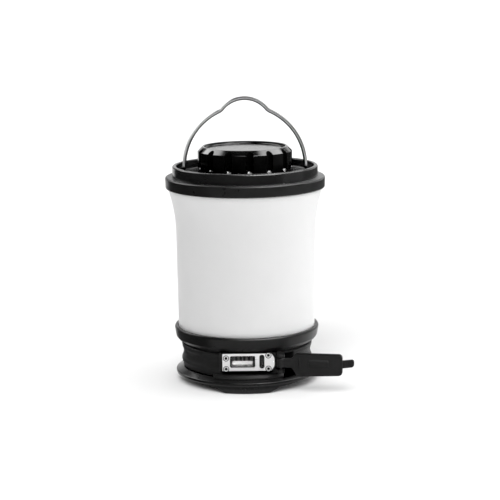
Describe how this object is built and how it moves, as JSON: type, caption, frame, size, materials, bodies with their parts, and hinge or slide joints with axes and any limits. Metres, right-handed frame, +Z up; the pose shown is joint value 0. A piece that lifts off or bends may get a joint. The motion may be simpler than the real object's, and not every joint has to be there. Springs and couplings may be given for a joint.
{
  "type": "camping lantern",
  "caption": "Battery camping lantern with a frosted flared diffuser, folding wire bail, screw battery cap, rubber bumpers and feet, and a rubber cover over its charging and output sockets.",
  "frame": {"origin": "on the ground under the lantern's axis, at the mouth of the tripod socket", "axes": "+Z up along the lantern's axis, -Y out of the socket plate (front), +X to the right seen from the front"},
  "size_m": [0.1035, 0.0921, 0.1611],
  "materials": {
    "rubber_black": "matte moulded rubber",
    "seal_rubber": "smooth",
    "housing_black": "fine moulded texture",
    "button_rubber": "matte",
    "head_black": "matte black hard coat",
    "cap_black": "glossy black anodised",
    "diffuser_white": "frosted, translucent",
    "bail_steel": "polished stainless wire",
    "plate_metal": "satin",
    "socket_steel": "bright plated",
    "screw_steel": "plated",
    "screw_black": "black oxide",
    "brass": "plain",
    "tube_alu": "plain",
    "cell_can": "shrink wrap over a steel can, at the mean density of a cell",
    "board_green": "solder mask",
    "board_white": "white metal-core board",
    "led_phosphor": "phosphor",
    "reflector_white": "matt white",
    "part_black": "moulded",
    "tongue_plastic": "moulded",
    "lead_red": "insulated wire",
    "light_pipe": "frosted"
  },
  "bodies": {
    "root": {"foot_ring": "rubber_black", "bottom_cover": "housing_black", "tripod_insert": "brass", "bottom_screws": "screw_black", "base_housing": "housing_black", "lower_bumper": "rubber_black", "diffuser": "diffuser_white", "diffuser_bottom_seal": "seal_rubber", "diffuser_top_seal": "seal_rubber", "top_bumper": "rubber_black", "top_ring": "head_black", "cap_o_ring": "seal_rubber", "battery_tube": "tube_alu", "battery_cells": "cell_can", "tube_contact_board": "board_green", "tube_contact_studs": "brass", "tube_screws": "screw_steel", "reflector_sleeve": "reflector_white", "top_reflector": "reflector_white", "led_board": "board_white", "led_chips": "led_phosphor", "main_board": "board_green", "board_parts": "part_black", "charge_board": "board_green", "inner_leads": "lead_red", "port_plate": "plate_metal", "port_plate_screws": "screw_steel", "usb_a_shell": "socket_steel", "usb_a_tongue": "tongue_plastic", "usb_a_contacts": "brass", "micro_usb_shell": "socket_steel", "micro_usb_tongue": "tongue_plastic", "port_cover_pin": "screw_steel", "switch_board": "board_green", "tact_switch": "part_black", "indicator_light_pipes": "light_pipe"},
    "bail": {"bail_handle": "bail_steel"},
    "cap_carrier": {"cap_contact_plate": "board_green", "cap_contact_ring": "brass", "cap_contact_springs": "screw_steel"},
    "cap": {"top_cap": "cap_black", "cap_retaining_ring": "screw_steel"},
    "cover": {"port_cover": "rubber_black"},
    "button": {"power_button": "button_rubber"}
  },
  "joints": [
    {"name": "bail_swing", "type": "hinge", "parent": "root", "child": "bail", "pos_m": [0, 0, 0.1202], "axis": [1, 0, 0], "range_deg": [-84, 84]},
    {"name": "cap_lift", "type": "slide", "parent": "root", "child": "cap_carrier", "axis": [0, 0, 1], "range_m": [0, 0.00501]},
    {"name": "cap_turn", "type": "hinge", "parent": "cap_carrier", "child": "cap", "pos_m": [0, 0, 0.12], "axis": [0, 0, 1], "range_deg": [0, 720]},
    {"name": "port_cover_hinge", "type": "hinge", "parent": "root", "child": "cover", "pos_m": [0.0185, -0.0396, 0.01765], "axis": [0, 0, 1], "range_deg": [-170, 15]},
    {"name": "button_press", "type": "slide", "parent": "root", "child": "button", "axis": [0, -1, 0], "range_m": [0, 0.0006], "stiffness_N_per_m": 800}
  ],
  "couplings": [
    {"joint": "cap_lift", "follows": "cap_turn", "m_per_rad": 0.00039789}
  ]
}
